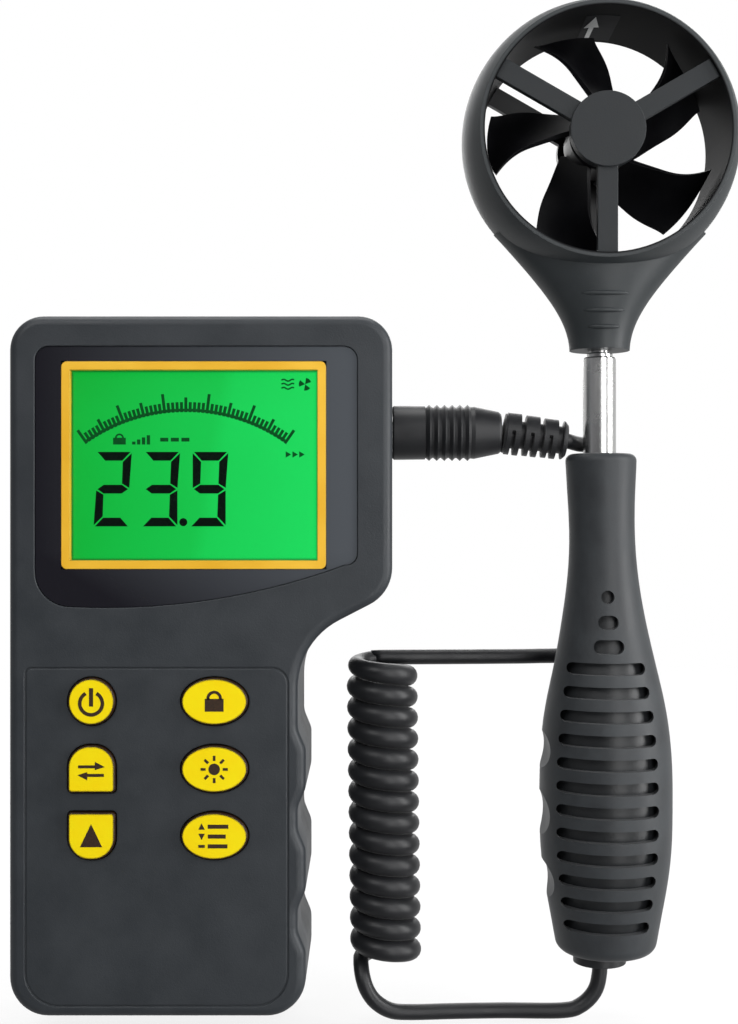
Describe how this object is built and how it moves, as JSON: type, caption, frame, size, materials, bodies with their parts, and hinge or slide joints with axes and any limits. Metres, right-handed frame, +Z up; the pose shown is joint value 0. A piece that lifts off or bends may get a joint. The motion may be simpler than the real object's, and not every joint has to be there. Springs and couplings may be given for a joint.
{
  "type": "handheld weather meter",
  "caption": "Handheld weather meter: keyed case with a back-lit display, and a vane probe on a telescopic rod with a grip handle, joined by a coiled plug-in cord.",
  "frame": {"origin": "centre of the meter case's flat bottom face, at mid thickness of the case", "axes": "+Z up along the case, towards the display end; display faces -Y; +X towards the probe"},
  "size_m": [0.1759, 0.0392, 0.2512],
  "materials": {
    "case_plastic": "fine matte texture",
    "bezel_gloss": "high gloss",
    "frame_yellow": "satin",
    "clear_window": "polished",
    "display_green": "back-lit, glossy",
    "guide_clear": "frosted",
    "key_yellow": "satin gloss",
    "silicone": "soft matte",
    "board_green": "solder mask",
    "chip_black": "matte",
    "screw_steel": "zinc plated",
    "battery_jacket": "satin wrap",
    "snap_black": "matte",
    "lead_red": "insulated wire",
    "socket_black": "matte",
    "contact_metal": "nickel plated",
    "cord_black": "satin",
    "grip_rubber": "soft matte",
    "core_plastic": "satin",
    "rod_chrome": "polished",
    "slider_brass": "drawn",
    "head_plastic": "fine matte texture",
    "impeller_black": "satin gloss",
    "axle_steel": "ground"
  },
  "bodies": {
    "meter": {"front_case": "case_plastic", "rear_case": "case_plastic", "display_bezel": "bezel_gloss", "lcd_frame": "frame_yellow", "display_window": "clear_window", "lcd_panel": "display_green", "light_guide": "guide_clear", "display_contact_strip": "silicone", "keypad_mat": "silicone", "main_board": "board_green", "board_chips": "chip_black", "case_screws": "screw_steel", "board_screws": "screw_steel", "battery": "battery_jacket", "battery_snap": "snap_black", "battery_leads": "lead_red", "jack_socket": "socket_black"},
    "power_key": {"power_button": "key_yellow"},
    "unit_key": {"unit_button": "key_yellow"},
    "up_key": {"up_button": "key_yellow"},
    "hold_key": {"hold_button": "key_yellow"},
    "light_key": {"light_button": "key_yellow"},
    "memory_key": {"memory_button": "key_yellow"},
    "door": {"battery_door": "case_plastic"},
    "probe": {"plug_barrel": "contact_metal", "plug_pins": "contact_metal", "plug_body": "cord_black", "plug_strain_relief": "cord_black", "coiled_cord": "cord_black", "grip_sleeve": "grip_rubber", "handle_core": "core_plastic", "handle_end_cap": "core_plastic", "base_tube": "rod_chrome"},
    "rod_middle": {"middle_tube": "rod_chrome", "middle_slider": "slider_brass"},
    "rod_top": {"top_tube": "rod_chrome", "top_slider": "slider_brass"},
    "head": {"head_housing": "head_plastic", "front_spider": "head_plastic", "rear_spider": "head_plastic", "front_bearing": "slider_brass", "rear_bearing": "slider_brass", "speed_sensor": "chip_black", "sensor_board": "board_green"},
    "rotor": {"impeller": "impeller_black", "impeller_axle": "axle_steel"}
  },
  "joints": [
    {"name": "power_press", "type": "slide", "parent": "meter", "child": "power_key", "axis": [0, 1, 0], "range_m": [0, 0.0008], "stiffness_N_per_m": 800},
    {"name": "unit_press", "type": "slide", "parent": "meter", "child": "unit_key", "axis": [0, 1, 0], "range_m": [0, 0.0008], "stiffness_N_per_m": 800},
    {"name": "up_press", "type": "slide", "parent": "meter", "child": "up_key", "axis": [0, 1, 0], "range_m": [0, 0.0008], "stiffness_N_per_m": 800},
    {"name": "hold_press", "type": "slide", "parent": "meter", "child": "hold_key", "axis": [0, 1, 0], "range_m": [0, 0.0008], "stiffness_N_per_m": 800},
    {"name": "light_press", "type": "slide", "parent": "meter", "child": "light_key", "axis": [0, 1, 0], "range_m": [0, 0.0008], "stiffness_N_per_m": 800},
    {"name": "memory_press", "type": "slide", "parent": "meter", "child": "memory_key", "axis": [0, 1, 0], "range_m": [0, 0.0008], "stiffness_N_per_m": 800},
    {"name": "door_hinge", "type": "hinge", "parent": "meter", "child": "door", "pos_m": [0, 0.0178, 0.01035], "axis": [-1, 0, 0], "range_deg": [0, 75]},
    {"name": "plug_slide", "type": "slide", "parent": "meter", "child": "probe", "axis": [1, 0, 0], "range_m": [0, 0.02]},
    {"name": "rod_middle_slide", "type": "slide", "parent": "probe", "child": "rod_middle", "axis": [0, 0, 1], "range_m": [0, 0.1]},
    {"name": "rod_top_slide", "type": "slide", "parent": "rod_middle", "child": "rod_top", "axis": [0, 0, 1], "range_m": [0, 0.1]},
    {"name": "head_swivel", "type": "hinge", "parent": "rod_top", "child": "head", "pos_m": [0.1066, 0, 0.2103], "axis": [0, 0, 1], "range_deg": [-90, 90]},
    {"name": "impeller_spin", "type": "hinge", "parent": "head", "child": "rotor", "pos_m": [0.1066, 0, 0.2103], "axis": [0, 1, 0], "continuous": true}
  ]
}
